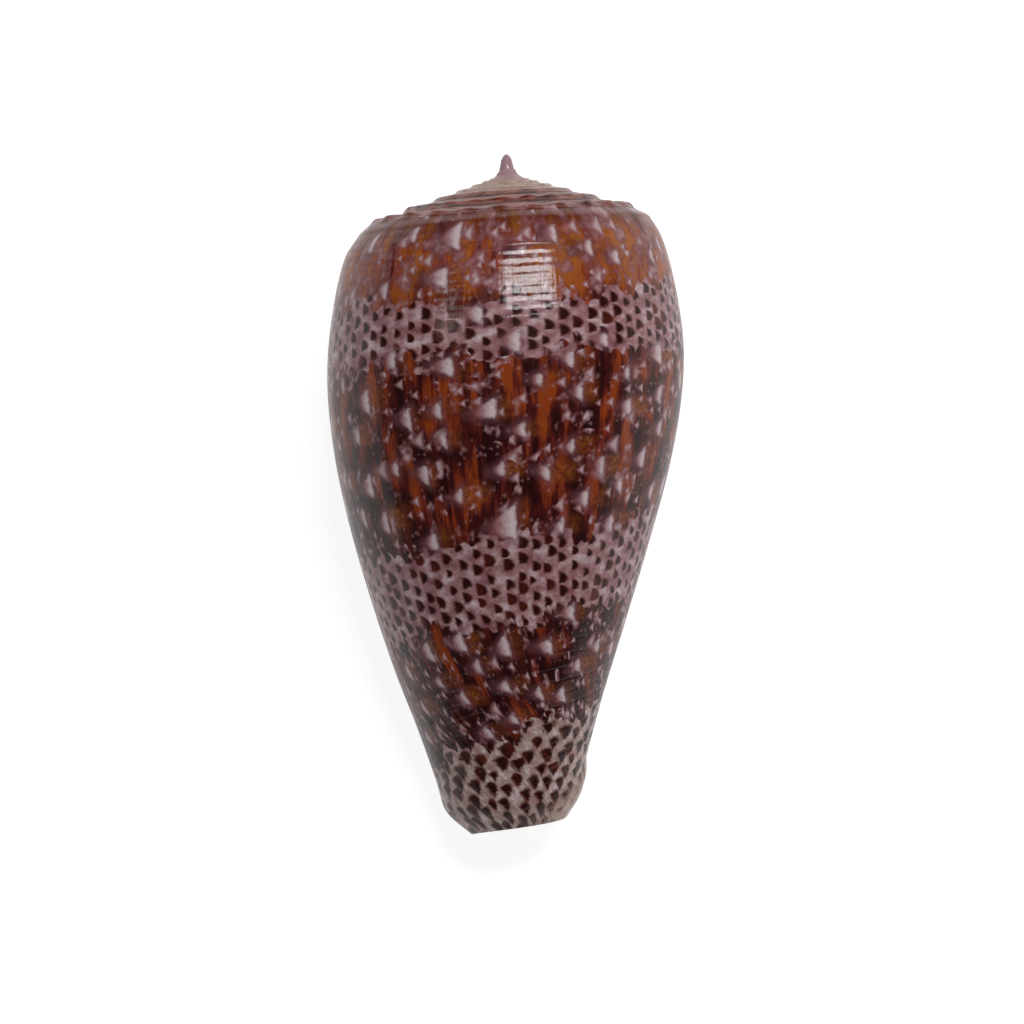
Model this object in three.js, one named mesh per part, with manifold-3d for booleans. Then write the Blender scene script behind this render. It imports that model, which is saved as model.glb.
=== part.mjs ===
// Cone shell, 60 mm long, lying on its aperture. Millimetres, +Z up, the spire towards +Y.
//
// The shell is worked out upright about its own axis, apex at the origin and base towards -Y, then
// laid down. A place on it is (turn, radius, depth): turn is the angle grown, 0 at the lip and
// negative further back, radius is from the coiling axis and depth is from the apex down.

import * as THREE from "three";
import { ConvexHull } from "three/addons/math/ConvexHull.js";
import Module from "manifold-3d";

const TURN = 2 * Math.PI;
const rad = THREE.MathUtils.degToRad;

// Growth
const STEPS = 72; // columns in one turn
const SPIRE_TURNS = 9;
const LIP_AZIMUTH = rad(230); // where the lip stands, from +X towards the back of the shell
const REFERENCE = rad(-50); // the turn at which LATE_PROFILE was taken
const SHOULDER_RADIUS = 11.9; // at the reference
const SHOULDER_GROWTH = 0.057; // of the logarithm of the radius, per radian
const SHOULDER_SLOWING = 0.093; // how much the last turns fall short of that growth
const SPIRE_SLOPE = 0.31; // depth gained per millimetre of shoulder radius
const TIP_HEIGHT = 1.65; // of the slender point over that slope
const TIP_RADIUS = 0.6;
const SPIRE_LEAN = rad(1.5);
const LEAN_FROM = 12; // depth above which the axis leans

// The body whorl from under the shoulder to the base, [radius, depth], at the reference and half
// a turn before it. Every other age follows from the ratio of the two.
const LATE_PROFILE = [
  [13.35, 6.6], [14.6, 8.5], [15.8, 13.0], [16.5, 19.0], [16.1, 25.5], [15.0, 31.6],
  [13.3, 38.2], [11.2, 45.0], [9.3, 50.2], [7.75, 54.9], [6.95, 57.6], [5.1, 59.6],
];
const EARLY_PROFILE = [
  [12.2, 6.0], [13.1, 7.6], [14.1, 11.4], [14.8, 17.0], [14.45, 22.0], [13.3, 27.6],
  [11.4, 34.0], [9.1, 41.0], [6.9, 47.6], [5.25, 53.2], [4.4, 56.1], [3.2, 58.0],
];
const STATIONS = 17; // rows taken from each profile, an odd number
const LIP_RETREAT = rad(63); // how far the lip falls back at the base
const RETREAT_FROM = 34; // depth at which it starts to

// The fasciole, a twisted ridge that the canal leaves round the foot as it grows
const FASCIOLE_HEIGHT = 0.35;
const FASCIOLE_DEPTH = 53.3; // of its upper edge, half a turn before the reference
const FASCIOLE_PITCH = 3.4; // depth it gains in a radian

// Shoulder knobs
const KNOBS = 24; // in one turn
const KNOB_HEIGHT = 0.2;
const KNOBS_FROM = 6; // radius of the first whorl that has them

// Wall and cavity
const WALL = 1.0;
const LIP_EDGE = 0.55; // thickness of the wall at the lip
const LIP_BEVEL = 0.2;
const CALLUS = 0.12; // glaze over the old whorl inside the aperture
const CAVITY_TURNS = 1.9;
const CAVITY_STEPS = 36; // in one turn
const CANAL_TURN = rad(-140); // how far back the base is open
const FLOOR_DEPTH = 53; // where the cavity ends below, further back than that
const BELOW_BASE = 66;

const WEAR = 0.2; // depth rubbed off where the shell lies

const COLOUR = 0x6b2a18;

// Outlines and growth

const smooth = (x, from, to) => THREE.MathUtils.smoothstep(x, from, to);

/** Points along a smooth curve through a profile. */
function curveThrough(profile, count) {
  const points = profile.map(([r, d]) => new THREE.Vector3(r, d, 0));
  const curve = new THREE.CatmullRomCurve3(points, false, "centripetal");
  const at = (i) => curve.getPoint(i / (count - 1));
  return Array.from({ length: count }, (_, i) => at(i));
}

const late = curveThrough(LATE_PROFILE, STATIONS);
const early = curveThrough(EARLY_PROFILE, STATIONS);
const CAVITY_STATIONS = late.map((_, station) => station).filter((station) => station % 2 === 0);

/** How far the lip, and every growth line with it, lies back at a station. */
function retreat(station) {
  const low = Math.max(0, late[station].y - RETREAT_FROM) / (60 - RETREAT_FROM);
  return -LIP_RETREAT * low ** 3;
}

/** How far the fasciole stands out. */
function fascioleAt(turn, d) {
  const edge = FASCIOLE_DEPTH + FASCIOLE_PITCH * (turn - REFERENCE + Math.PI);
  const seen = smooth(turn, rad(-450), rad(-400)) * (1 - smooth(turn, rad(-200), rad(-120)));
  return FASCIOLE_HEIGHT * seen * smooth(d, edge - 0.8, edge + 0.8);
}

/** Radius and depth of the body whorl at a station, for any age. */
function bodyAt(turn, station) {
  const halves = (turn - REFERENCE) / Math.PI;
  const [a, b] = [late[station], early[station]];
  const d = a.y * (a.y / b.y) ** halves;
  return { r: a.x * (a.x / b.x) ** halves + fascioleAt(turn, d), d };
}

/** Radius and depth of the shoulder edge, without its knobs. */
function shoulderAt(turn) {
  const x = turn - REFERENCE;
  const slowed = SHOULDER_SLOWING * (1 - Math.exp(x / 4));
  const r = SHOULDER_RADIUS * Math.exp(SHOULDER_GROWTH * x + slowed);
  const tip = TIP_HEIGHT * (1 - Math.exp(-((r / TIP_RADIUS) ** 2)));
  return { r, d: tip + SPIRE_SLOPE * r };
}

/** The shoulder edge with its knobs. */
function crestAt(turn) {
  const { r, d } = shoulderAt(turn);
  const knob = KNOB_HEIGHT * smooth(r, KNOBS_FROM, 11) * Math.cos(KNOBS * turn);
  return { r: r + 0.5 * knob, d: d - knob };
}

/** The shoulder's outer face, where the next whorl is joined on. */
function sutureAt(turn) {
  const { r, d } = shoulderAt(turn);
  const size = Math.min(1, 0.12 + r / 10);
  return { r: r + 0.6 * size, d: d + 0.5 * size };
}

/** The middle of the ramp between the suture and the shoulder edge. */
function rampAt(turn) {
  const inner = sutureAt(turn - TURN);
  const outer = shoulderAt(turn);
  return { r: (inner.r + outer.r) / 2, d: (inner.d + outer.d) / 2 + 0.03 };
}

/** A place on the upright shell. The spire leans over a little. */
function place(turn, { r, d }) {
  const azimuth = LIP_AZIMUTH + turn;
  const point = new THREE.Vector3(r * Math.cos(azimuth), -d, r * Math.sin(azimuth));
  const pivot = new THREE.Vector3(0, -LEAN_FROM, 0);
  const lean = SPIRE_LEAN * (1 - smooth(d, 0.3 * LEAN_FROM, LEAN_FROM));
  return point.sub(pivot).applyAxisAngle(new THREE.Vector3(0, 0, 1), lean).add(pivot);
}

// Surfaces

/** A closed surface put together row by row. */
class Surface {
  points = [];
  faces = [];

  add(point) {
    return this.points.push(point) - 1;
  }

  triangle(a, b, c) {
    this.faces.push(a, b, c);
  }

  /** The skin between two rows of equal length, each quad split along its shorter diagonal. */
  band(one, two) {
    const apart = (a, b) => this.points[a].distanceTo(this.points[b]);
    for (let i = 0; i + 1 < one.length; i++) {
      const [a, b, c, d] = [one[i], two[i], two[i + 1], one[i + 1]];
      const across = apart(b, d) < apart(a, c);
      this.triangle(a, b, across ? d : c);
      this.triangle(across ? b : a, c, d);
    }
  }

  /** The skin between two rows of any length that share no point. */
  zip(one, two) {
    let [i, j] = [0, 0];
    while (i + 1 < one.length || j + 1 < two.length) {
      const ahead = (i + 1) / one.length <= (j + 1) / two.length;
      if (j + 1 >= two.length || (i + 1 < one.length && ahead)) {
        this.triangle(one[i], two[j], one[i + 1]);
        i += 1;
      } else {
        this.triangle(one[i], two[j], two[j + 1]);
        j += 1;
      }
    }
  }

  fan(centre, row) {
    for (let i = 0; i + 1 < row.length; i++) this.triangle(centre, row[i], row[i + 1]);
  }

  /** The surface as a solid. Its faces are turned round if they point inwards. */
  solid(wasm) {
    const make = (faces) =>
      new wasm.Manifold(
        new wasm.Mesh({
          numProp: 3,
          vertProperties: new Float32Array(this.points.flatMap((p) => p.toArray())),
          triVerts: new Uint32Array(faces),
        }),
      );
    const made = make(this.faces);
    return made.volume() > 0 ? made : make([...this.faces].reverse());
  }
}

/** The whole shell without its cavity. */
function solidShell(wasm) {
  const surface = new Surface();
  const first = -SPIRE_TURNS * STEPS;
  const turnOf = (column) => (column / STEPS) * TURN;
  const rows = new Map();
  const grow = (name, from, shape) => {
    const row = new Map();
    for (let column = from; column <= 0; column++) row.set(column, surface.add(shape(column)));
    rows.set(name, row);
  };

  grow("suture", first - STEPS, (c) => place(turnOf(c), sutureAt(turnOf(c))));
  grow("ramp", first, (c) => place(turnOf(c), rampAt(turnOf(c))));
  grow("crest", first, (c) => place(turnOf(c), crestAt(turnOf(c))));
  for (let station = 0; station < STATIONS; station++)
    grow(station, -STEPS, (c) => bodyPoint(turnOf(c), station, c === 0 ? LIP_BEVEL : 0));

  const spireColumn = (c) => [
    rows.get("suture").get(c - STEPS),
    rows.get("ramp").get(c),
    rows.get("crest").get(c),
    rows.get("suture").get(c),
  ];
  const bodyColumn = (c) => [
    rows.get("suture").get(c),
    ...late.map((_, station) => rows.get(station).get(c)),
  ];

  for (let c = first; c < 0; c++) surface.band(spireColumn(c), spireColumn(c + 1));
  for (let c = -STEPS; c < 0; c++) surface.band(bodyColumn(c), bodyColumn(c + 1));

  closeTip(surface, rows, first, spireColumn(first));
  closeBase(surface, rows);
  surface.zip([...spireColumn(0).slice(1), ...bodyColumn(0).slice(1)], bodyColumn(-STEPS));
  return surface.solid(wasm);
}

/** A place on the body whorl, moved in along its radius. */
function bodyPoint(turn, station, inwards) {
  const own = turn + retreat(station);
  const { r, d } = bodyAt(own, station);
  return place(own, { r: r - inwards, d });
}

/** The slender point at the top, with the start of the first whorl under it. */
function closeTip(surface, rows, first, startColumn) {
  const apex = surface.add(place(0, { r: 0, d: 0 }));
  const ring = [];
  for (let c = first - STEPS; c <= first; c++) ring.push(rows.get("suture").get(c));
  surface.fan(apex, ring.reverse());
  surface.fan(apex, startColumn);
}

/** The underside, from the rim of the wall to the foot of the pillar. */
function closeBase(surface, rows) {
  const foot = surface.add(new THREE.Vector3(0, 1.5 - LATE_PROFILE.at(-1)[1], 0));
  const rim = [...rows.get(STATIONS - 1).values()];
  surface.fan(foot, [...rim, rim[0]]);
}

/** The two sides of the cavity at one turn, from the top down, as [turn, radius, depth]. */
function cavitySides(turn) {
  const end = -CAVITY_TURNS * TURN;
  const closing = 0.7 * (1 - smooth(turn, end, end + rad(30)));
  const wall = THREE.MathUtils.lerp(WALL, LIP_EDGE, Math.exp(Math.min(0, turn) / 0.3)) + closing;
  const opened = smooth(turn, 1.25 * CANAL_TURN, CANAL_TURN);
  const floor = THREE.MathUtils.lerp(FLOOR_DEPTH, BELOW_BASE, opened);
  const spot = (t, r, d) => [t, r, d > floor ? floor + 0.05 * (d - floor) : d];

  const outer = CAVITY_STATIONS.map((station) => {
    const t = turn + retreat(station);
    const here = bodyAt(t, station);
    const above = station ? bodyAt(t, station - 1) : sutureAt(t);
    const below = bodyAt(t, Math.min(station + 1, STATIONS - 1));
    const [dr, dd] = [below.r - above.r, below.d - above.d];
    const inwards = wall / Math.hypot(dr, dd);
    return spot(t, here.r - inwards * dd, here.d + inwards * dr);
  });
  const inner = CAVITY_STATIONS.slice(1).map((station) => {
    const t = turn + retreat(station);
    const { r, d } = bodyAt(t - TURN, station);
    return spot(t, r + CALLUS + closing, d);
  });
  for (const side of [outer, inner]) {
    const [t, r] = side.at(-1);
    side.push(spot(t, r, BELOW_BASE + 1));
  }
  return { outer, inner };
}

/** The space of the aperture and the hollow behind it. It reaches out past the lip. */
function cavity(wasm) {
  const surface = new Surface();
  const step = TURN / CAVITY_STEPS;
  const columns = Math.round(CAVITY_TURNS * CAVITY_STEPS);
  const put = ([turn, r, d]) => surface.add(place(turn, { r, d }));
  const slices = [];
  for (let c = -columns; c <= 1; c++) {
    const { outer, inner } = cavitySides(c * step);
    slices.push({ outer: outer.map(put), inner: inner.map(put) });
  }
  const loop = ({ outer, inner }) => [...outer, ...[...inner].reverse(), outer[0]];
  for (let i = 0; i + 1 < slices.length; i++) surface.band(loop(slices[i]), loop(slices[i + 1]));
  surface.zip(slices[0].inner, slices[0].outer);
  surface.zip(slices.at(-1).outer, slices.at(-1).inner);
  return surface.solid(wasm);
}

// Pose

/** The outward normal of the hull face that the shell comes to rest on, aperture down. */
function restingNormal(solid) {
  const mesh = solid.getMesh();
  const corner = (i) => new THREE.Vector3().fromArray(mesh.vertProperties, i * mesh.numProp);
  const centre = new THREE.Vector3();
  for (let i = 0; i < mesh.triVerts.length; i += 3) {
    const [a, b, c] = [...mesh.triVerts.slice(i, i + 3)].map(corner);
    const volume = a.dot(b.clone().cross(c)) / 6;
    centre.addScaledVector(a.add(b).add(c), volume / 4 / solid.volume());
  }
  const points = Array.from({ length: mesh.numVert }, (_, i) => corner(i));
  const lying = new ConvexHull()
    .setFromPoints(points)
    .faces.filter((face) => face.normal.z < -0.8)
    .map((face) => ({ normal: face.normal, height: face.constant - centre.dot(face.normal) }));
  return lying.reduce((low, face) => (face.height < low.height ? face : low)).normal;
}

/** The shell lying on a table at z = 0 with its axis over +Y, worn flat where it rests. */
function laidDown(solid) {
  const down = new THREE.Vector3(0, 0, -1);
  const turn = new THREE.Quaternion().setFromUnitVectors(restingNormal(solid), down);
  const axis = new THREE.Vector3(0, 1, 0).applyQuaternion(turn);
  const pose = new THREE.Matrix4()
    .makeRotationZ(Math.atan2(axis.x, axis.y))
    .multiply(new THREE.Matrix4().makeRotationFromQuaternion(turn));
  const lying = solid.transform(pose.elements);
  const worn = lying.trimByPlane([0, 0, 1], lying.boundingBox().min[2] + WEAR);
  const { min, max } = worn.boundingBox();
  return worn.translate(-(min[0] + max[0]) / 2, -(min[1] + max[1]) / 2, -min[2]);
}

/** The solid as three.js geometry. */
function geometryOf(solid) {
  const mesh = solid.getMesh();
  const geometry = new THREE.BufferGeometry();
  geometry.setAttribute("position", new THREE.BufferAttribute(mesh.vertProperties, 3));
  geometry.setIndex(new THREE.BufferAttribute(mesh.triVerts, 1));
  return geometry;
}

const wasm = await Module();
wasm.setup();

const solid = laidDown(solidShell(wasm).subtract(cavity(wasm)));
const material = new THREE.MeshStandardMaterial({ color: COLOUR, roughness: 0.25, metalness: 0 });
const shell = new THREE.Mesh(geometryOf(solid), material);
shell.name = "shell";

const part = new THREE.Group();
part.add(shell);

export default part;
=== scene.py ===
"""A glazed cone shell, 60 mm long, lying on its aperture on a pale table.

The shell is grown in the upright frame that its CAD model uses, in millimetres: the coiling axis
is the Y axis, the apex is at the origin and the base towards -Y. A place on it is a turn (the
angle grown, 0 at the lip and negative further back), a radius from the axis and a depth from the
apex. It is then laid down into the shared frame of the part, in metres.
"""

from __future__ import annotations

import logging
import math
from dataclasses import dataclass, field
from enum import Enum
from typing import Any

import bpy
import numpy as np
from mathutils import Matrix, Vector

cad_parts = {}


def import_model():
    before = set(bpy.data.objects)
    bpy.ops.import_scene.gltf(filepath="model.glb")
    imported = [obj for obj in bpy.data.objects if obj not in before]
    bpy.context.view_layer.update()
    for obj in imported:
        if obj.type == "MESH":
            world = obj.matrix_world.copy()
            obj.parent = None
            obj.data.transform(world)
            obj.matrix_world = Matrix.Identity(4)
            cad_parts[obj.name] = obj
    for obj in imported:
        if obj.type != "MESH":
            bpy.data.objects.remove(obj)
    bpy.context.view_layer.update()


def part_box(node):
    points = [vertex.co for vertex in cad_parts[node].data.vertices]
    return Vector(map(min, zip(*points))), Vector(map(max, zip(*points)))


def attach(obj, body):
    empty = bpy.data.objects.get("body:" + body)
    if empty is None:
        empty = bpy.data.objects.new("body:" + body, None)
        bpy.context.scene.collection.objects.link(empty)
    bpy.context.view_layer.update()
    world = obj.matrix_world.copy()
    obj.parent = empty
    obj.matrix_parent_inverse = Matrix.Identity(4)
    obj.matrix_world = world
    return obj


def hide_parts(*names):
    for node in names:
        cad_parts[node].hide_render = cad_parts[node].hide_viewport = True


log = logging.getLogger("cone shell")

TURN = 2 * math.pi
MM = 0.001
Pair = tuple[np.ndarray, np.ndarray]
Span = tuple[float, float]
Stops = tuple[tuple[float, str], ...]


class Zone(Enum):
    """The stretches of the body whorl, by the row that each one starts at, in millimetres."""

    UPPER_DOTS = 13.6
    WAIST = 19.6
    MIDDLE_DOTS = 35.6
    LOWER = 43.4
    FOOT_DOTS = 54.2


class Slot(Enum):
    """The two finishes of the shell, by material slot."""

    GLAZE = 0
    LINING = 1


def rad(degrees: float) -> float:
    """Returns an angle in radians."""
    return math.radians(degrees)


def smooth(x: Any, low: float, high: float) -> Any:
    """Rises smoothly from 0 at low to 1 at high.

    Args:
        x: a number or an array.
        low: where the rise starts.
        high: where it ends.

    Returns:
        The same shape as x.
    """
    t = np.clip((np.asarray(x, float) - low) / (high - low), 0, 1)
    return t * t * (3 - 2 * t)


def linear(colour: str) -> tuple[float, float, float, float]:
    """Turns an sRGB hex colour into the linear colour that a shader takes.

    Args:
        colour: six hex digits after a #.

    Returns:
        Red, green, blue and an alpha of 1.
    """
    parts = [int(colour[i : i + 2], 16) / 255 for i in (1, 3, 5)]
    red, green, blue = [c / 12.92 if c <= 0.04045 else ((c + 0.055) / 1.055) ** 2.4 for c in parts]
    return red, green, blue, 1.0


def through(p0: Any, p1: Any, p2: Any, p3: Any, w: Any) -> np.ndarray:
    """A centripetal Catmull-Rom curve from p1 to p2.

    Args:
        p0: the point before, as an array whose last axis holds the coordinates, as all four are.
        p1: the start.
        p2: the end.
        p3: the point after.
        w: how far along, 0 to 1, of a shape that broadcasts with the points.

    Returns:
        The points on the curve.
    """
    steps = (p1 - p0, p2 - p1, p3 - p2)
    a, b, c = [np.maximum(np.linalg.norm(s, axis=-1, keepdims=True), 1e-8) ** 0.5 for s in steps]
    start = ((p1 - p0) / a - (p2 - p0) / (a + b) + (p2 - p1) / b) * b
    end = ((p2 - p1) / b - (p3 - p1) / (b + c) + (p3 - p2) / c) * b
    bend = -3 * p1 + 3 * p2 - 2 * start - end
    return p1 + w * (start + w * (bend + w * (2 * p1 - 2 * p2 + start + end)))


@dataclass(frozen=True)
class Growth:
    """The laws that the shell grew by. Lengths are in millimetres."""

    lip_azimuth: float = rad(230)
    reference: float = rad(-50)
    shoulder_radius: float = 11.9
    shoulder_growth: float = 0.057
    shoulder_slowing: float = 0.093
    spire_slope: float = 0.31
    tip_height: float = 1.65
    tip_radius: float = 0.6
    spire_lean: float = rad(1.5)
    lean_from: float = 12.0
    lip_retreat: float = rad(63)
    retreat_from: float = 34.0
    fasciole_height: float = 0.35
    fasciole_depth: float = 53.3
    fasciole_pitch: float = 3.4
    knobs: int = 24
    knob_height: float = 0.2
    knobs_from: float = 6.0
    late: tuple[tuple[float, float], ...] = (
        (13.35, 6.6), (14.6, 8.5), (15.8, 13.0), (16.5, 19.0), (16.1, 25.5), (15.0, 31.6),
        (13.3, 38.2), (11.2, 45.0), (9.3, 50.2), (7.75, 54.9), (6.95, 57.6), (5.1, 59.6),
    )
    early: tuple[tuple[float, float], ...] = (
        (12.2, 6.0), (13.1, 7.6), (14.1, 11.4), (14.8, 17.0), (14.45, 22.0), (13.3, 27.6),
        (11.4, 34.0), (9.1, 41.0), (6.9, 47.6), (5.25, 53.2), (4.4, 56.1), (3.2, 58.0),
    )

    def profile(self, points: tuple[tuple[float, float], ...], part: np.ndarray) -> np.ndarray:
        """Radius and depth along a profile.

        Args:
            points: the profile, from the shoulder to the base.
            part: how far along it, 0 to 1.

        Returns:
            An array with a last axis of radius and depth.
        """
        p = np.array(points)
        p = np.vstack([2 * p[0] - p[1], p, 2 * p[-1] - p[-2]])
        along = np.clip(part, 0, 1) * (len(points) - 1)
        i = np.minimum(along.astype(int), len(points) - 2)
        return through(p[i], p[i + 1], p[i + 2], p[i + 3], (along - i)[..., None])

    def retreat(self, part: np.ndarray) -> np.ndarray:
        """How far the lip, and every growth line with it, lies back at a part of the profile."""
        low = np.maximum(0, self.profile(self.late, part)[..., 1] - self.retreat_from)
        return -self.lip_retreat * (low / (60 - self.retreat_from)) ** 3

    def fasciole(self, turn: np.ndarray, depth: np.ndarray) -> np.ndarray:
        """How much of the ridge that the canal left round the foot there is at a place.

        Args:
            turn: one per place.
            depth: one per place.

        Returns:
            0 to 1 for each place.
        """
        edge = self.fasciole_depth + self.fasciole_pitch * (turn - self.reference + math.pi)
        seen = smooth(turn, rad(-450), rad(-400)) * (1 - smooth(turn, rad(-200), rad(-120)))
        return seen * smooth(depth - edge, -0.8, 0.8)

    def body(self, turn: np.ndarray, part: np.ndarray) -> Pair:
        """The body whorl at a turn and a part of its profile.

        Args:
            turn: one per place.
            part: how far down the profile each place is, 0 to 1.

        Returns:
            The radius and the depth of each place.
        """
        halves = (turn - self.reference) / math.pi
        late, early = self.profile(self.late, part), self.profile(self.early, part)
        depth = late[..., 1] * (late[..., 1] / early[..., 1]) ** halves
        radius = late[..., 0] * (late[..., 0] / early[..., 0]) ** halves
        return radius + self.fasciole_height * self.fasciole(turn, depth), depth

    def shoulder(self, turn: np.ndarray) -> Pair:
        """The shoulder edge without its knobs.

        Args:
            turn: one per place.

        Returns:
            The radius and the depth of each place.
        """
        x = turn - self.reference
        slowed = self.shoulder_slowing * (1 - np.exp(x / 4))
        radius = self.shoulder_radius * np.exp(self.shoulder_growth * x + slowed)
        tip = self.tip_height * (1 - np.exp(-((radius / self.tip_radius) ** 2)))
        return radius, tip + self.spire_slope * radius

    def crest(self, turn: np.ndarray) -> Pair:
        """The shoulder edge with its knobs, which are never quite even.

        Args:
            turn: one per place.

        Returns:
            The radius and the depth of each place.
        """
        radius, depth = self.shoulder(turn)
        uneven = 0.55 + 0.25 * np.sin(3.3 * turn) + 0.2 * np.sin(7.7 * turn + 1)
        ripple = np.cos(self.knobs * turn + 0.8 * np.sin(2.6 * turn))
        knob = self.knob_height * smooth(radius, self.knobs_from, 11) * uneven * ripple
        return radius + 0.5 * knob, depth - knob

    def suture(self, turn: np.ndarray) -> Pair:
        """The line on the shoulder's outer face where the next whorl is joined on.

        Args:
            turn: one per place.

        Returns:
            The radius and the depth of each place.
        """
        radius, depth = self.shoulder(turn)
        size = np.minimum(1, 0.12 + radius / 10)
        return radius + 0.6 * size, depth + 0.5 * size

    def ramp(self, turn: np.ndarray) -> Pair:
        """Radius and depth of the middle of the ramp inside the shoulder edge."""
        inner, outer = self.suture(turn - TURN), self.shoulder(turn)
        return (inner[0] + outer[0]) / 2, (inner[1] + outer[1]) / 2 + 0.03

    def place(self, turn: Any, radius: Any, depth: Any) -> np.ndarray:
        """Where a place is in the upright frame.

        Args:
            turn: in radians.
            radius: in millimetres from the axis.
            depth: in millimetres from the apex.

        Returns:
            Points, with a last axis of x, y and z. The spire leans over a little.
        """
        turn, radius, depth = np.broadcast_arrays(turn, radius, depth)
        x = radius * np.cos(self.lip_azimuth + turn)
        y = self.lean_from - depth
        lean = self.spire_lean * (1 - smooth(depth, 0.3 * self.lean_from, self.lean_from))
        across = x * np.cos(lean) - y * np.sin(lean)
        up = x * np.sin(lean) + y * np.cos(lean) - self.lean_from
        return np.stack([across, up, radius * np.sin(self.lip_azimuth + turn)], axis=-1)


@dataclass(frozen=True)
class Tent:
    """A pale tent: a triangle whose point looks towards the lip. Angles in degrees, sizes in mm."""

    turn: float
    depth: float
    length: float
    height: float


@dataclass
class Markings:
    """Where the markings lie. Their own coordinates are the age of a growth line and a spiral row."""

    growth: Growth
    seed: int = 7
    lean_back: float = 1.6
    columns: tuple[int, int, int] = (36, 31, 15)
    small_tents: int = 150
    small_size: Span = (1.3, 2.4)
    small_turns: Span = (-430, 0)
    small_depths: Span = (7, 52)
    girth: float = 14.0
    tents: tuple[Tent, ...] = (
        Tent(-113, 11.3, 2.5, 2.1), Tent(-92, 12.2, 1.5, 1.6), Tent(-133, 32.3, 2.9, 3.2),
        Tent(-129, 22.6, 2.5, 1.9), Tent(-102, 23.3, 1.6, 2.1), Tent(-116, 19.0, 2.5, 1.9),
        Tent(-133, 27.7, 1.4, 1.3), Tent(-177, 9.8, 1.5, 1.5), Tent(-108, 42.6, 1.8, 2.0),
        Tent(-150, 43.2, 2.0, 1.7), Tent(-161, 40.2, 1.8, 1.7), Tent(-138, 17.0, 2.0, 2.4),
        Tent(-126, 14.6, 2.1, 1.8), Tent(-105, 33.8, 1.7, 1.8), Tent(-168, 16.9, 1.7, 1.4),
        Tent(-178, 22.6, 1.6, 1.7), Tent(-192, 18.1, 2.4, 2.2), Tent(-148, 28.2, 1.5, 1.6),
        Tent(-140, 24.4, 1.5, 1.4), Tent(-157, 25.9, 1.2, 1.4), Tent(-97, 18.2, 1.7, 1.8),
        Tent(-78, 24.5, 1.6, 1.7), Tent(-95, 27.4, 1.3, 1.5), Tent(-85, 32.0, 1.5, 2.2),
        Tent(-118, 29.9, 1.3, 1.4), Tent(-188, 27.0, 1.7, 2.0), Tent(-146, 20.2, 1.3, 1.4),
        Tent(-163, 30.4, 1.4, 1.7), Tent(-128, 46.6, 1.6, 1.4), Tent(-170, 44.8, 1.4, 1.5),
        Tent(-142, 9.2, 1.2, 1.1), Tent(-104, 47.4, 1.3, 1.6), Tent(-176, 32.6, 1.6, 1.6),
    )

    def age(self, turn: np.ndarray, depth: np.ndarray) -> np.ndarray:
        """The turn at which the growth line through a place meets the shoulder."""
        return turn + self.lean_back * np.clip((depth - 34) / 26, 0, 1.1) ** 3

    def row(self, turn: np.ndarray, depth: np.ndarray) -> np.ndarray:
        """The spiral row through a place, by its depth at the reference turn."""
        drop = np.interp(depth, (8, 22, 33, 38, 45, 51, 56), (0.9, 3.5, 4.3, 4.8, 6.2, 8.4, 10.0))
        return depth + drop * (self.growth.reference - turn) / math.pi

    def column(self, age: np.ndarray, row: np.ndarray) -> np.ndarray:
        """The number of the dot column at a growth line, which depends on the band it crosses.

        Args:
            age: of the growth line, in radians.
            row: the spiral row, in millimetres.

        Returns:
            The number, with the way into the column as its fraction.
        """
        upper, middle, foot = self.columns
        count = np.where(row < 27, upper, np.where(row < 48.5, middle, foot))
        return age * count / TURN

    def dots(self, age: np.ndarray, row: np.ndarray) -> np.ndarray:
        """How far inside a dotted band a place is.

        Args:
            age: of the growth line, in radians.
            row: the spiral row, in millimetres.

        Returns:
            Millimetres from the band's wavy edge, negative outside the band.
        """
        wave = 0.45 * np.sin(5.3 * age + 1.0) + 0.3 * np.sin(11.9 * age) + 0.2 * np.sin(23 * age + 2)
        gap = 1.9 * np.exp(-(((age + rad(121)) / rad(7)) ** 2))
        upper = np.minimum(row - Zone.UPPER_DOTS.value, Zone.WAIST.value - row) - gap
        middle = np.minimum(row - Zone.MIDDLE_DOTS.value, Zone.LOWER.value - row)
        foot = row - Zone.FOOT_DOTS.value
        return np.maximum(np.maximum(upper, middle), foot) + wave

    def scattered(self) -> list[Tent]:
        """Strews the smaller tents at random over the brown zones and keeps them apart.

        Returns:
            The large tents and the small ones after them.
        """
        rng = np.random.default_rng(self.seed)
        kept: list[Tent] = list(self.tents)
        smallest, largest = self.small_size
        for _ in range(12 * self.small_tents):
            turn = rng.uniform(*self.small_turns)
            depth = rng.uniform(*self.small_depths)
            size = smallest + (largest - smallest) * rng.random() ** 2.2
            row = float(self.row(rad(turn), np.float64(depth)))
            age = float(self.age(np.float64(rad(turn)), depth))
            if self.dots(np.float64(age), np.float64(row)) > -0.6 * size:
                continue
            if row < Zone.UPPER_DOTS.value and rng.random() < 0.45:
                continue
            near = 0.9 + 0.55 * size
            apart = [
                math.hypot(rad(turn - t.turn) * self.girth, depth - t.depth) - 0.55 * t.height
                for t in kept
            ]
            if min(apart) > near:
                length, height = size * rng.uniform((0.8, 0.9), (1.1, 1.3))
                kept.append(Tent(turn, depth, length, height))
            if len(kept) >= self.small_tents + len(self.tents):
                break
        return kept

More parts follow.
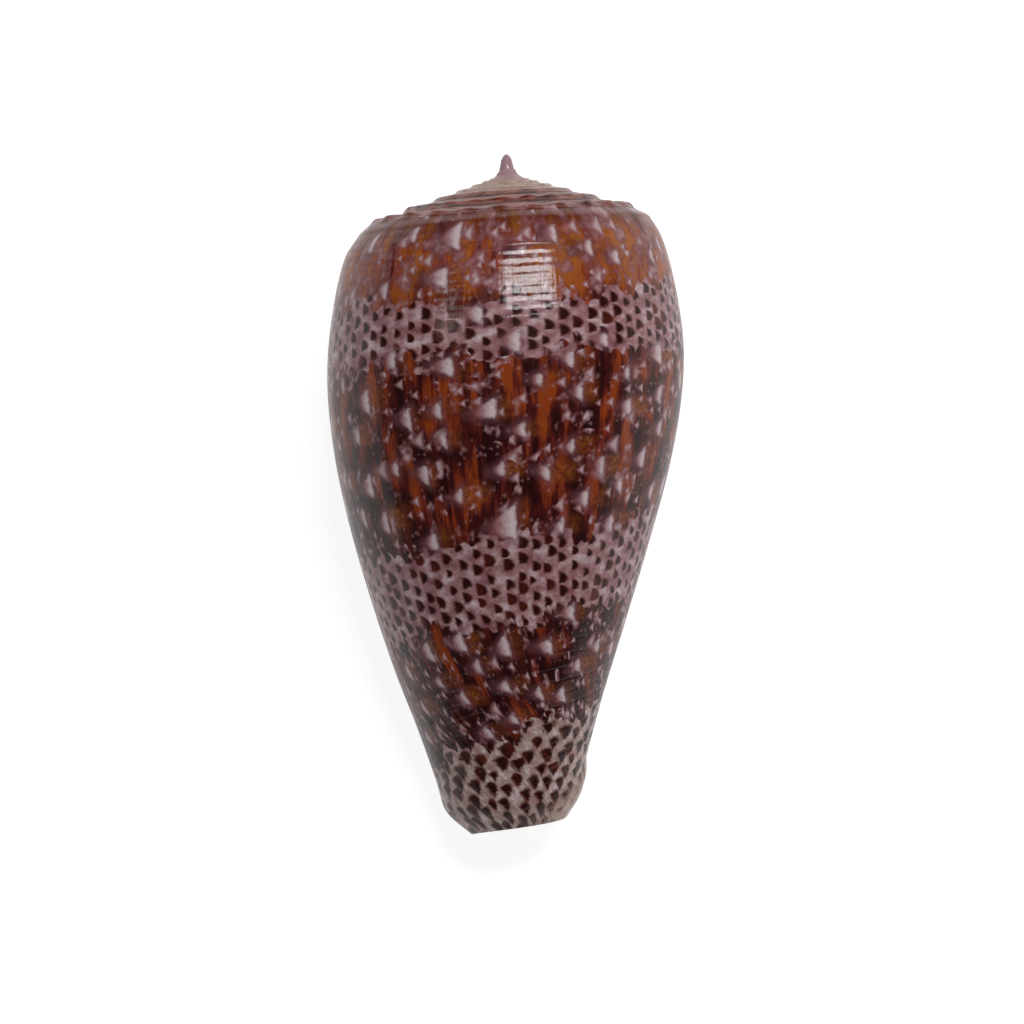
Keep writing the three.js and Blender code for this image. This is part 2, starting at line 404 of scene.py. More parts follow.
    def tent_fields(self, turn: np.ndarray, depth: np.ndarray) -> dict[str, np.ndarray]:
        """What the tents do to each place.

        Args:
            turn: one per place.
            depth: one per place.

        Returns:
            tent: distance to the nearest tent's edge in millimetres, negative inside.
            pale: how near a place in a tent is to the tent's flat edge, 0 to 1.
            fringe: how much of the orange streak behind a tent is here.
            shade: how much of the dark patch ahead of a tent is here.
        """
        age, row = self.age(turn, depth), self.row(turn, depth)
        tent = np.full(turn.shape, 3.0)
        pale, fringe, shade = (np.zeros(turn.shape) for _ in range(3))
        rng = np.random.default_rng(self.seed + 1)
        for t in self.scattered():
            turn0, depth0 = np.float64(rad(t.turn)), np.float64(t.depth)
            radius = float(self.growth.body(turn0, np.float64(self.part_at(t.depth)))[0])
            x = (age - self.age(turn0, depth0)) * radius
            y = row - self.row(turn0, depth0)
            streak, ahead = rng.uniform(0.9, 3.0), rng.uniform(0.6, 1.8)
            skew, hollow = rng.uniform(-0.25, 0.25), rng.uniform(0.75, 1.05)
            strength = rng.uniform(0.35, 1.0, 2)
            here = (np.abs(x) < 4.5) & (np.abs(y) < 3.5)
            x, y = x[here], y[here]
            to_point = np.clip((t.length / 2 - x) / t.length, 0, 1)
            half = t.height / 2 * to_point**hollow
            sides = (np.abs(y - skew * t.height * (1 - to_point)) - half) * 0.86
            away = np.maximum(-t.length / 2 - x, np.maximum(sides, x - t.length / 2))
            nearer = away < tent[here]
            tent[here] = np.where(nearer, away, tent[here])
            pale[here] = np.where(nearer, to_point, pale[here])
            back = (-t.length / 2 - x) / streak
            tall = 1 - smooth(np.abs(y) / t.height, 0.35, 0.75)
            orange = strength[0] * tall * smooth(back, -0.25, 0.1) * (1 - smooth(back, 0.5, 1.2))
            fringe[here] = np.maximum(fringe[here], orange)
            front = (x - 0.1 * t.length) / ahead
            low = 1 - smooth(np.abs(y) / t.height, 0.3, 0.7)
            dark = strength[1] * low * smooth(front, -0.2, 0.4) * (1 - smooth(front, 0.7, 1.5))
            shade[here] = np.maximum(shade[here], dark)
        return {"tent": tent, "pale": pale, "fringe": fringe, "shade": shade}

    def part_at(self, depth: float) -> float:
        """The part of the profile at a depth, close enough to size a marking by."""
        part = np.linspace(0, 1, 60)
        return float(np.interp(depth, self.growth.profile(self.growth.late, part)[:, 1], part))


TRAITS = (
    "age", "row", "column", "dotted", "tent", "pale", "fringe", "shade",
    "spire", "crest", "reach", "foot",
)  # what the glaze reads at every point


class Skin:
    """A closed surface put together from grids of points."""

    def __init__(self) -> None:
        """Starts with nothing in it."""
        self.points: list[np.ndarray] = []
        self.traits: dict[str, list[np.ndarray]] = {name: [] for name in TRAITS}
        self.faces: list[tuple[int, ...]] = []
        self.slots: list[int] = []
        self.count = 0

    def add(self, points: np.ndarray, **traits: np.ndarray) -> np.ndarray:
        """Adds points.

        Args:
            points: of any shape, with a last axis of x, y and z.
            traits: what the glaze reads at them. A trait left out is 0.

        Returns:
            The numbers of the points, in the shape of the points without their last axis.
        """
        shape = points.shape[:-1]
        size = int(np.prod(shape))
        self.points.append(points.reshape(-1, 3))
        for name in TRAITS:
            value = np.broadcast_to(traits.get(name, 0.0), shape)
            self.traits[name].append(value.reshape(-1))
        numbers = np.arange(self.count, self.count + size).reshape(shape)
        self.count += size
        return numbers

    def band(self, grid: np.ndarray, slot: Slot) -> None:
        """Covers a grid of points with quads.

        Args:
            grid: the numbers of the points, in rows.
            slot: the finish of the quads.
        """
        a, b, c, d = grid[:-1, :-1], grid[:-1, 1:], grid[1:, 1:], grid[1:, :-1]
        quads = np.stack([a, b, c, d], axis=-1).reshape(-1, 4)
        self.faces.extend(map(tuple, quads.tolist()))
        self.slots.extend([slot.value] * len(quads))

    def triangle(self, a: int, b: int, c: int, slot: Slot) -> None:
        """Adds one triangle."""
        self.faces.append((int(a), int(b), int(c)))
        self.slots.append(slot.value)

    def zip(self, one: Any, two: Any, slot: Slot) -> None:
        """Covers the gap between two rows of points of any length.

        Args:
            one: the numbers of the points of the first row.
            two: those of the second row.
            slot: the finish of the triangles.
        """
        i = j = 0
        while i + 1 < len(one) or j + 1 < len(two):
            ahead = (i + 1) / len(one) <= (j + 1) / len(two)
            if j + 1 >= len(two) or (i + 1 < len(one) and ahead):
                self.triangle(one[i], two[j], one[i + 1], slot)
                i += 1
            else:
                self.triangle(one[i], two[j], two[j + 1], slot)
                j += 1

    def object(self, name: str) -> bpy.types.Object:
        """Makes the object, with its faces turned outwards and its traits as attributes.

        Args:
            name: of the object and its mesh.

        Returns:
            The object, linked to the scene.
        """
        points = np.concatenate(self.points)
        corners = [[f[0], f[i], f[i + 1]] for f in self.faces for i in range(1, len(f) - 1)]
        a, b, c = (points[np.array(corners)[:, i]] for i in range(3))
        volume = np.einsum("ij,ij->", a, np.cross(b, c)) / 6
        faces = self.faces if volume > 0 else [f[::-1] for f in self.faces]
        mesh = bpy.data.meshes.new(name)
        mesh.from_pydata(points.tolist(), [], faces)
        mesh.polygons.foreach_set("material_index", self.slots)
        mesh.polygons.foreach_set("use_smooth", [True] * len(faces))
        for trait, values in self.traits.items():
            layer = mesh.attributes.new(trait, "FLOAT", "POINT")
            layer.data.foreach_set("value", np.concatenate(values).astype(np.float32))
        mesh.update()
        made = bpy.data.objects.new(name, mesh)
        bpy.context.scene.collection.objects.link(made)
        return made


@dataclass
class OuterShell:
    """The whole outside of the shell, from the tip of the spire to the foot, without its cavity."""

    growth: Growth
    markings: Markings
    columns: int = 336
    rows: int = 142
    turns: int = 9
    ramp_rows: tuple[int, int, int] = (3, 4, 3)
    face_rows: int = 3
    lip_bevel: float = 0.2
    cord_height: float = 0.035
    tip_dome: tuple[Span, ...] = ((0.8, 0.5), (0.52, 0.2), (0.25, 0.05))
    foot_rings: tuple[float, ...] = (0.12, 0.4, 0.7)
    foot_rise: float = 1.5

    def spire_section(self, skin: Skin, turn: np.ndarray, sutures: Pair) -> np.ndarray:
        """The points across one run of the spire.

        Args:
            skin: where they are added.
            turn: of each column.
            sutures: the numbers of the points of the sutures inside and outside the ramp.

        Returns:
            The numbers of the points, a row for each column.
        """
        g = self.growth
        marks = (g.suture(turn - TURN), g.ramp(turn), g.crest(turn), g.suture(turn))
        knots = [np.stack(p, -1)[:, None] for p in marks]
        first, last = 2 * knots[0] - knots[1], np.stack(g.body(turn, np.zeros_like(turn)), -1)[:, None]
        line = [first, *knots, last]
        ahead = smooth(turn, -TURN - rad(30), -TURN + rad(10))[:, None]
        parts, lift = [], []
        for i, rows in enumerate(self.ramp_rows):
            w = (np.arange(rows) / rows)[None, :, None]
            parts.append(through(*line[i : i + 4], w))
            lift.append(i + w[0, :, 0])
        path = np.concatenate(parts, axis=1)[:, 1:]
        at = np.concatenate(lift)[None, 1:]
        size = np.minimum(1, path[..., 0] / 9)
        cord = self.cord_height * size * np.cos(TURN * 2.5 * at) * (1 - smooth(at, 1.6, 2.0))
        rising = np.where(at < 2, at / 2, 1 - (at - 2) * (1 - 0.85 * ahead))
        grid = skin.add(
            g.place(turn[:, None], path[..., 0], path[..., 1] - cord),
            age=turn[:, None],
            row=2.6 + 1.1 * at,
            column=self.markings.column(turn, np.zeros_like(turn))[:, None],
            tent=3.0,
            dotted=-9.0,
            spire=1 - ahead * smooth(at, 1.7, 3.0),
            crest=rising,
            reach=path[..., 0],
        )
        return np.concatenate([sutures[0][:, None], grid, sutures[1][:, None]], axis=1)

    def suture_line(self, skin: Skin, turn: np.ndarray) -> np.ndarray:
        """Adds the line that every whorl is joined on at, and that runs on to the lip.

        Args:
            skin: where the points are added.
            turn: of each column.

        Returns:
            The numbers of the points, one for each column.
        """
        radius, depth = self.growth.suture(turn)
        ahead = smooth(turn, -TURN - rad(30), -TURN + rad(10))
        return skin.add(
            self.growth.place(turn, radius, depth),
            age=turn,
            row=self.markings.row(turn, depth) * ahead + 5.9 * (1 - ahead),
            column=self.markings.column(turn, depth),
            tent=3.0,
            dotted=-9.0,
            spire=1 - ahead,
            crest=0.85 * ahead,
            reach=radius,
        )

    def body_grid(self, skin: Skin, turn: np.ndarray, top: np.ndarray) -> np.ndarray:
        """Adds the points of the body whorl under the shoulder.

        Args:
            skin: where they are added.
            turn: of each column.
            top: the numbers of the points of the suture above them.

        Returns:
            The numbers of the points, a row for each column.
        """
        g, m = self.growth, self.markings
        part = np.linspace(0, 1, self.rows)[None]
        own = turn[:, None] + g.retreat(part)
        radius, depth = g.body(own, np.broadcast_to(part, own.shape))
        w = (np.arange(1, self.face_rows) / self.face_rows)[None, :, None]
        knots = [np.stack(p, -1)[:, None] for p in (g.crest(turn), g.suture(turn))]
        edge = [np.stack([radius[:, i], depth[:, i]], -1)[:, None] for i in (0, 4)]
        bend = through(*knots, *edge, w)
        own = np.concatenate([np.repeat(turn[:, None], self.face_rows - 1, 1), own], axis=1)
        radius = np.concatenate([bend[..., 0], radius], axis=1)
        depth = np.concatenate([bend[..., 1], depth], axis=1)
        inwards = self.lip_bevel * np.exp(turn / rad(1.2))[:, None]
        age, row = m.age(own, depth), m.row(own, depth)
        grid = skin.add(
            g.place(own, radius - inwards, depth),
            age=age,
            row=row,
            column=m.column(age, row),
            dotted=m.dots(age, row),
            crest=0.85,
            reach=radius,
            foot=g.fasciole(own, depth),
            **m.tent_fields(own, depth),
        )
        return np.concatenate([top[:, None], grid], axis=1)

    def close(self, skin: Skin, suture: np.ndarray, spire: np.ndarray, body: np.ndarray) -> None:
        """Closes the tip, the foot and the face between the lip and the whorl before it.

        Args:
            skin: where the points and faces are added.
            suture: the points of the suture line, from the tip to the lip.
            spire: the points of the spire, a row for each column.
            body: the points of the body whorl, a row for each column.
        """
        n = self.columns
        top = self.growth.place(0.0, 0.0, 0.0)
        loop = np.concatenate([spire[0][:1], suture[1 : n + 1], spire[0][-2::-1]])
        rim = np.concatenate(skin.points)[loop] - top
        traits = {"age": -self.turns * TURN, "row": 3.0, "spire": 1.0, "tent": 3.0, "dotted": -9.0}
        rings = [loop]
        for across, down in self.tip_dome:
            ring = skin.add(top + rim[:-1] * (across, down, across), crest=0.5, reach=0.5, **traits)
            rings.append(np.append(ring, ring[0]))
        skin.band(np.stack(rings), Slot.GLAZE)
        apex = skin.add(top[None], crest=0.5, reach=0.5, **traits)[0]
        for a, b in zip(rings[-1][:-1], rings[-1][1:]):
            skin.triangle(apex, a, b, Slot.GLAZE)
        centre = np.array([0.0, self.foot_rise - self.growth.late[-1][1], 0.0])
        rim = np.concatenate(skin.points)[body[:, -1]]
        rings = [body[:, -1]]
        for inwards in self.foot_rings:
            bulge = np.array([0.0, -0.5 * inwards * (1 - inwards), 0.0])
            rings.append(skin.add(rim + (centre - rim) * inwards + bulge, row=60.0, foot=1.0, tent=3.0))
        loop = np.stack(rings, axis=1)
        skin.band(np.concatenate([loop, loop[:1]]), Slot.LINING)
        foot = skin.add(centre[None], row=60.0, foot=1.0, tent=3.0)[0]
        inner = [*rings[-1], rings[-1][0]]
        for a, b in zip(inner[:-1], inner[1:]):
            skin.triangle(foot, b, a, Slot.LINING)
        skin.zip(body[0], [*spire[-1][1:], *body[-1][1:]], Slot.LINING)

    def build(self) -> bpy.types.Object:
        """Builds the outside of the shell as a closed surface.

        Returns:
            The object, upright and in millimetres.
        """
        skin = Skin()
        n = self.columns
        turns = np.arange(-(self.turns + 1) * n, 1) * (TURN / n)
        suture = self.suture_line(skin, turns)
        spire = self.spire_section(skin, turns[n:], (suture[:-n], suture[n:]))
        body = self.body_grid(skin, turns[-n - 1 :], suture[-n - 1 :])
        skin.band(spire, Slot.GLAZE)
        skin.band(body, Slot.GLAZE)
        self.close(skin, suture, spire, body)
        return skin.object("outer_shell")


@dataclass
class Cavity:
    """The space of the aperture and of the hollow behind it. It reaches out past the lip."""

    growth: Growth
    wall: float = 1.0
    lip_edge: float = 0.55
    lip_reach: float = 0.3
    callus: float = 0.12
    end_closing: float = 0.7
    slope_step: float = 1 / 16
    inner_from: float = 1 / 8
    turns: float = 1.9
    columns: int = 72
    rows: int = 25
    canal_turn: float = rad(-140)
    floor_depth: float = 53.0
    below_base: float = 66.0

    def sides(self, turn: float) -> Pair:
        """The outer and inner side of the space at one turn, from the top down.

        Args:
            turn: in radians.

        Returns:
            The points of the outer side and those of the inner side.
        """
        g = self.growth
        end = -self.turns * TURN
        closing = self.end_closing * (1 - smooth(turn, end, end + rad(30)))
        thin = math.exp(min(0.0, turn) / self.lip_reach)
        wall = self.wall + (self.lip_edge - self.wall) * thin + closing
        opened = smooth(turn, 1.25 * self.canal_turn, self.canal_turn)
        floor = self.floor_depth + (self.below_base - self.floor_depth) * opened
        part = np.linspace(0, 1, self.rows)
        own = turn + g.retreat(part)
        above = np.stack(g.body(own, np.maximum(part - self.slope_step, 0)), -1)
        above[0] = np.stack(g.suture(own[:1]), -1)[0]
        below = np.stack(g.body(own, np.minimum(part + self.slope_step, 1)), -1)
        here = np.stack(g.body(own, part), -1)
        step = below - above
        inwards = wall / np.hypot(step[:, 0], step[:, 1])
        outer = np.stack([here[:, 0] - inwards * step[:, 1], here[:, 1] + inwards * step[:, 0]], -1)
        kept = part >= self.inner_from
        inner = np.stack(g.body(own[kept] - TURN, part[kept]), -1)
        inner[:, 0] += self.callus + closing
        sides = []
        for own_side, side in ((own, outer), (own[kept], inner)):
            own_side = np.append(own_side, own_side[-1])
            side = np.vstack([side, [side[-1, 0], self.below_base + 1]])
            over = np.maximum(0, side[:, 1] - floor)
            sides.append(g.place(own_side, side[:, 0], side[:, 1] - 0.95 * over))
        return sides[0], sides[1]

    def build(self) -> bpy.types.Object:
        """Builds the space as a closed surface.

        Returns:
            The object, upright and in millimetres.
        """
        skin = Skin()
        step = TURN / self.columns
        past = math.ceil(rad(10) / step)
        loops = []
        for column in range(-round(self.turns * self.columns), past + 1):
            outer, inner = self.sides(column * step)
            loops.append((outer, inner))
        outer = skin.add(np.stack([o for o, _ in loops]), tent=3.0)
        inner = skin.add(np.stack([i for _, i in loops]), tent=3.0)
        skin.band(np.concatenate([outer, inner[:, ::-1], outer[:, :1]], axis=1), Slot.LINING)
        skin.zip(outer[0], inner[0], Slot.LINING)
        skin.zip(inner[-1], outer[-1], Slot.LINING)
        return skin.object("cavity")


class Recipe:
    """The nodes of one material."""

    def __init__(self, name: str) -> None:
        """Starts an empty material.

        Args:
            name: of the material.
        """
        self.material = bpy.data.materials.new(name)
        self.material.use_nodes = True
        self.tree = self.material.node_tree
        self.tree.nodes.clear()

    def add(self, kind: str, *inputs: Any, out: int | str = 0, stops: Stops = (), **settings: Any) -> Any:
        """Adds a node.

        Args:
            kind: the node's type, without its ShaderNode.
            inputs: one for each of its sockets in use, in order: a socket to link from, a value
                to set, or None to leave it.
            out: which of its outputs in use to return, by number or name.
            stops: the places and sRGB colours of its colour ramp, if it has one.
            settings: the node's own properties.

        Returns:
            The output, or the node itself if it has none.
        """
        node = self.tree.nodes.new("ShaderNode" + kind)
        for name, value in settings.items():
            setattr(node, name, value)
        for number, (at, colour) in enumerate(stops):
            elements = node.color_ramp.elements
            element = elements[number] if number < 2 else elements.new(at)
            element.position = at
            element.color = linear(colour)
        for socket, value in zip([s for s in node.inputs if s.enabled], inputs):
            if isinstance(value, bpy.types.NodeSocket):
                self.tree.links.new(value, socket)
            elif value is not None:
                socket.default_value = value
        if isinstance(out, str):
            return node.outputs[out]
        used = [s for s in node.outputs if s.enabled]
        return used[out] if used else node

    def surface(self, shader: Any) -> bpy.types.Material:
        """Ends the material with its surface."""
        self.add("OutputMaterial", shader)
        return self.material


@dataclass(frozen=True)
class ConeGlaze:
    """Aragonite with brown and orange pigment, polished by the animal's mantle as it grew.

    To the eye it is a thin clear gloss over matt, layered colour. Fine spiral grooves and growth
    lines break its highlights up into rows of sparkle. Pattern sizes are in millimetres.
    """

    ior: float = 1.62
    roughness: float = 0.42
    girth: float = 14.0
    pigment_gloss: float = 0.02
    coat_weight: float = 0.32
    coat_roughness: float = 0.07
    dot_pitch: Span = (2.7, 1.5)
    dot_half_height: float = 0.52
    cord_pitch: float = 0.8
    cord_height: float = 0.011
    groove_pitch: float = 1.35
    groove_depth: float = 0.030
    near_black: str = "#290b0c"
    maroon: str = "#481513"
    chestnut: str = "#6b2718"
    orange: str = "#8a3a14"
    ochre: str = "#a25a24"
    rose: str = "#8a4a40"
    mauve: str = "#865458"
    violet: str = "#6c424a"
    lilac: str = "#9b7276"
    white: str = "#cab7bb"
    cream: str = "#b59a8a"
    dot: str = "#2b0b0a"
    beige: str = "#a0887e"
    tip: str = "#a4848a"

    def patches(self, r: Recipe, place: Any, size: Span, seed: float, detail: float = 3.0) -> Any:
        """An uneven spread of pigment or height.

        Args:
            r: the material.
            place: millimetres round the whorl and down it.
            size: of one patch, round the whorl and down it, in millimetres.
            seed: a different one for each spread.
            detail: how many finer layers it has.

        Returns:
            A number round 0.5 at each place.
        """
        stretch = (1 / size[0], 1 / size[1], 0)
        grid = r.add("VectorMath", place, stretch, (0, 0, seed), operation="MULTIPLY_ADD")
        return r.add("TexNoise", grid, 1.0, detail, 0.6, 2.1, 0.0)

    def brown(self, r: Recipe, place: Any, row: Any) -> Any:
        """The brown ground: upright streaks, redder and hazier near the shoulder, and darker just under
        it, partly from dark patches and partly from painted shade.

        Args:
            r: the material.
            place: millimetres round the whorl and down it.
            row: millimetres down it.

        Returns:
            The colour.
        """
        streak = self.patches(r, place, (1.5, 7.0), 3.0)
        thread = self.patches(r, place, (0.26, 3.2), 8.0, 2.0)
        cloud = self.patches(r, place, (4.5, 6.0), 21.0, 2.0)
        hue = r.add("Math", thread, 0.3, streak, operation="MULTIPLY_ADD")
        hue = r.add("Math", cloud, 0.45, hue, operation="MULTIPLY_ADD")
        hue = r.add("Math", hue, r.add("MapRange", row, 20.0, 48.0, 0.01, -0.09), operation="ADD")
        colour = r.add("ValToRGB", hue, stops=(
            (0.77, self.near_black), (0.87, self.maroon), (0.93, self.chestnut), (1.0, self.orange),
        ))
        ruddy = r.add("ValToRGB", hue, stops=(
            (0.62, self.maroon), (0.71, self.chestnut), (0.78, self.rose),
            (0.86, self.orange), (0.94, self.ochre),
        ))
        high = r.add("MapRange", row, 16.5, 10.0, 0.0, 1.0, interpolation_type="SMOOTHSTEP")
        colour = r.add("Mix", high, colour, ruddy, data_type="RGBA")
        veil = self.patches(r, place, (1.5, 1.9), 33.0, 2.0)
        milky = r.add("ValToRGB", veil, stops=(
            (0.50, self.violet), (0.58, self.mauve), (0.66, self.lilac), (0.76, self.white),
        ))
        # Darker just under the shoulder: partly the shell's dark patches, partly painted shade that tones
        # down the light falling on the shoulder's upward face.
        brow_patches_and_shade = r.add("MapRange", row, 9.5, 6.0, 0.0, 0.62, interpolation_type="SMOOTHSTEP")
        colour = r.add("Mix", brow_patches_and_shade, colour, linear(self.near_black), data_type="RGBA")
        clear = r.add("MapRange", high, 0.0, 1.0, 0.61, 0.48)
        much = r.add("MapRange", r.add("Math", veil, clear, operation="SUBTRACT"), -0.05, 0.09,
                     0.0, 0.85, interpolation_type="SMOOTHSTEP")
        return r.add("Mix", much, colour, milky, data_type="RGBA")

    def flecks(self, r: Recipe, place: Any, pitch: float, size: Span, crowd: Any, seed: float) -> Any:
        """Small pale tents, strewn: flat and bright behind, fading to a point towards the lip.

        Args:
            r: the material.
            place: millimetres round the whorl and down it.
            pitch: from one possible tent to the next, in millimetres.
            size: of the smallest and the largest, in millimetres.
            crowd: the chance of each, 0 to 0.6.
            seed: a different one for each scatter.

        Returns:
            How bright a tent there is, 0 to 1.
        """
        grid = r.add("VectorMath", place, (1 / pitch,) * 3, (seed,) * 3, operation="MULTIPLY_ADD")
        x, y, _ = r.add("SeparateXYZ", grid).node.outputs
        line = r.add("Math", y, operation="FLOOR")
        x = r.add("Math", line, 0.37, x, operation="MULTIPLY_ADD")
        cell = r.add("CombineXYZ", r.add("Math", x, operation="FLOOR"), line, seed)
        dice = r.add("SeparateColor", r.add("TexWhiteNoise", cell, out="Color")).node.outputs
        length = r.add("MapRange", dice[2], 0.0, 1.0, size[0] / pitch, size[1] / pitch)
        behind = r.add("Math", r.add("MapRange", dice[1], 0.0, 1.0, 0.35, 0.65),
                       r.add("Math", x, operation="FRACT"), operation="SUBTRACT")
        behind = r.add("Math", behind, length, operation="DIVIDE")
        beside = r.add("Math", r.add("MapRange", dice[0], 0.0, 0.5, 0.35, 0.65),
                       r.add("Math", y, operation="FRACT"), operation="SUBTRACT")
        beside = r.add("Math", r.add("Math", beside, length, operation="DIVIDE"), operation="ABSOLUTE")
        side = r.add("Math", behind, -0.5, beside, operation="MULTIPLY_ADD")
        side = r.add("Math", side, 0.25, operation="SUBTRACT")
        out = r.add("Math", side, r.add("Math", behind, 0.5, operation="SUBTRACT"), operation="MAXIMUM")
        within = r.add("MapRange", out, 0.24, -0.30, 0.0, 1.0, interpolation_type="SMOOTHSTEP")
        bright = r.add("MapRange", behind, -0.5, 0.4, 0.25, 1.0)
        there = r.add("Math", dice[0], crowd, operation="LESS_THAN")
        there = r.add("Math", there, bright, operation="MULTIPLY")
        return r.add("Math", within, there, operation="MULTIPLY")

    def strewn(self, r: Recipe, under: Any, place: Any) -> Any:
        """Strews three sizes of small tents over a ground.

        Args:
            r: the material.
            under: the ground's colour.
            place: millimetres round the whorl and down it.

        Returns:
            The colour.
        """
        crowd = self.patches(r, place, (4.0, 3.4), 40.0, 2.0)
        few = r.add("MapRange", crowd, 0.42, 0.64, 0.05, 0.40)
        many = r.add("MapRange", crowd, 0.42, 0.62, 0.04, 0.5)
        speck = self.flecks(r, place, 0.62, (0.22, 0.42), many, 5.0)
        colour = r.add("Mix", r.add("Math", speck, 0.65, operation="MULTIPLY"), under,
                       linear(self.lilac), data_type="RGBA")
        for pitch, size, seed in ((1.15, (0.55, 1.0), 6.0), (2.3, (1.0, 1.9), 7.0)):
            fleck = self.flecks(r, place, pitch, size, few, seed)
            tone = r.add("ValToRGB", fleck, stops=(
                (0.1, self.mauve), (0.6, self.lilac), (1.0, self.white),
            ))
            shown = r.add("MapRange", fleck, 0.0, 0.6, 0.0, 0.9)
            colour = r.add("Mix", shown, colour, tone, data_type="RGBA")
        return colour

    def drops(self, r: Recipe, column: Any, row: Any, shift: float) -> Any:
        """One of the two sets of drop-shaped dots: flat towards the lip, round behind.

        Args:
            r: the material.
            column: dot columns round the whorl.
            row: millimetres down it.
            shift: 0 or 0.5, how far this set is moved over in both directions.

        Returns:
            How far out of the nearest dot a place is: 0 at its middle and 1 at its edge.
        """
        x = r.add("Math", column, shift, operation="ADD")
        wide, high = self.dot_pitch
        y = r.add("Math", row, 1 / high, shift, operation="MULTIPLY_ADD")
        cell = r.add("CombineXYZ", r.add("Math", x, operation="FLOOR"),
                     r.add("Math", y, operation="FLOOR"), shift * 20)
        dice = r.add("SeparateColor", r.add("TexWhiteNoise", cell, out="Color")).node.outputs
        dx = r.add("Math", r.add("MapRange", dice[0], 0.0, 1.0, 0.44, 0.62),
                   r.add("Math", x, operation="FRACT"), operation="SUBTRACT")
        dy = r.add("Math", r.add("MapRange", dice[1], 0.0, 1.0, 0.32, 0.68),
                   r.add("Math", y, operation="FRACT"), operation="SUBTRACT")
        size = r.add("MapRange", dice[2], 0.0, 1.0, 0.76, 1.18)
        long = r.add("MapRange", row, 50.0, 54.0, 0.80, 1.15)
        slant = r.add("MapRange", row, 50.0, 54.0, 0.25, -0.7)
        back = r.add("Math", r.add("Math", dx, wide, operation="MULTIPLY"), long, operation="DIVIDE")
        back = r.add("Math", back, size, operation="DIVIDE")
        side = r.add("Math", dy, high / self.dot_half_height, operation="MULTIPLY")
        side = r.add("Math", side, size, operation="DIVIDE")
        leaning = r.add("Math", back, slant, side, operation="MULTIPLY_ADD")
        oval = r.add("CombineXYZ", back, leaning, 0.0)
        oval = r.add("VectorMath", oval, operation="LENGTH", out="Value")
        flat = r.add("Math", back, -1.2, 0.85, operation="MULTIPLY_ADD")
        return r.add("Math", oval, flat, operation="MAXIMUM")

    def band(self, r: Recipe, place: Any, column: Any, row: Any, rough: Any) -> Any:
        """A dotted band: red-black dots on a lilac ground that turns beige at the foot.

        Args:
            r: the material.
            place: millimetres round the whorl and down it.
            column: dot columns round the whorl.
            row: millimetres down it.
            rough: an uneven number round 0, to fray the dots with.

        Returns:
            The colour.
        """
        below = r.add("Math", row, Zone.FOOT_DOTS.value, operation="SUBTRACT")
        below = r.add("Math", below, 0.0, operation="MAXIMUM")
        spread = r.add("Math", below, -0.25, row, operation="MULTIPLY_ADD")
        frayed = r.add("Math", rough, 0.3, spread, operation="MULTIPLY_ADD")
        first, second = self.drops(r, column, frayed, 0.0), self.drops(r, column, frayed, 0.5)
        out = r.add("Math", first, second, operation="MINIMUM")
        swell = self.patches(r, place, (2.6, 3.6), 44.0, 2.0)
        out = r.add("Math", out, r.add("MapRange", swell, 0.3, 0.7, 0.14, -0.24), operation="ADD")
        out = r.add("Math", rough, 0.35, out, operation="MULTIPLY_ADD")
        tone = self.patches(r, place, (1.5, 1.3), 60.0)
        lilac = r.add("ValToRGB", tone, stops=(
            (0.28, self.violet), (0.50, self.lilac), (0.74, self.white),
        ))
        pale = r.add("ValToRGB", tone, stops=(
            (0.34, self.lilac), (0.48, self.beige), (0.66, self.white),
        ))
        foot = r.add("MapRange", row, 51.0, 55.0, 0.0, 1.0)
        ground = r.add("Mix", foot, lilac, pale, data_type="RGBA")
        rim = r.add("MapRange", out, 0.85, 1.20, 0.5, 0.0, interpolation_type="SMOOTHSTEP")
        ground = r.add("Mix", rim, ground, linear(self.chestnut), data_type="RGBA")
        dot = r.add("MapRange", out, 0.66, 1.06, 1.0, 0.0, interpolation_type="SMOOTHSTEP")
        worn = r.add("ValToRGB", swell, stops=((0.54, self.dot), (0.86, self.chestnut)))
        return r.add("Mix", dot, ground, worn, data_type="RGBA")

    def relief(self, r: Recipe, place: Any, row: Any, reach: Any) -> Any:
        """The height of the fine grooves and growth lines, in millimetres.

        Args:
            r: the material.
            place: millimetres round the whorl and down it.
            row: millimetres down it.
            reach: millimetres from the axis.

        Returns:
            The height.
        """
        broken = self.patches(r, place, (0.9, 0.6), 11.0)
        wavy = r.add("Math", broken, 0.3, row, operation="MULTIPLY_ADD")
        phase = r.add("Math", wavy, TURN / self.cord_pitch, operation="MULTIPLY")
        cords = r.add("Math", phase, operation="SINE")
        high = r.add("MapRange", row, 18.0, 8.0, 0.04, 1.0, interpolation_type="SMOOTHSTEP")
        cords = r.add("Math", cords, high, operation="MULTIPLY")
        phase = r.add("Math", wavy, TURN / self.groove_pitch, operation="MULTIPLY")
        grooves = r.add("Math", phase, operation="SINE")
        narrow = r.add("MapRange", grooves, 0.6, 1.0, 0.0, -1.0, interpolation_type="SMOOTHSTEP")
        low = r.add("MapRange", row, 41.0, 50.0, 0.0, 1.0, interpolation_type="SMOOTHSTEP")
        grooves = r.add("Math", narrow, low, operation="MULTIPLY")
        height = r.add("Math", grooves, self.groove_depth, operation="MULTIPLY")
        height = r.add("Math", cords, self.cord_height, height, operation="MULTIPLY_ADD")
        height = r.add("Math", self.patches(r, place, (0.3, 8.0), 30.0), 0.026, height,
                       operation="MULTIPLY_ADD")
        height = r.add("Math", self.patches(r, place, (2.9, 9.0), 50.0, 1.0), 0.14, height,
                       operation="MULTIPLY_ADD")
        height = r.add("Math", broken, 0.013, height, operation="MULTIPLY_ADD")
        worn = r.add("MapRange", reach, 1.0, 6.0, 0.0, 1.0)
        return r.add("Math", height, worn, operation="MULTIPLY")

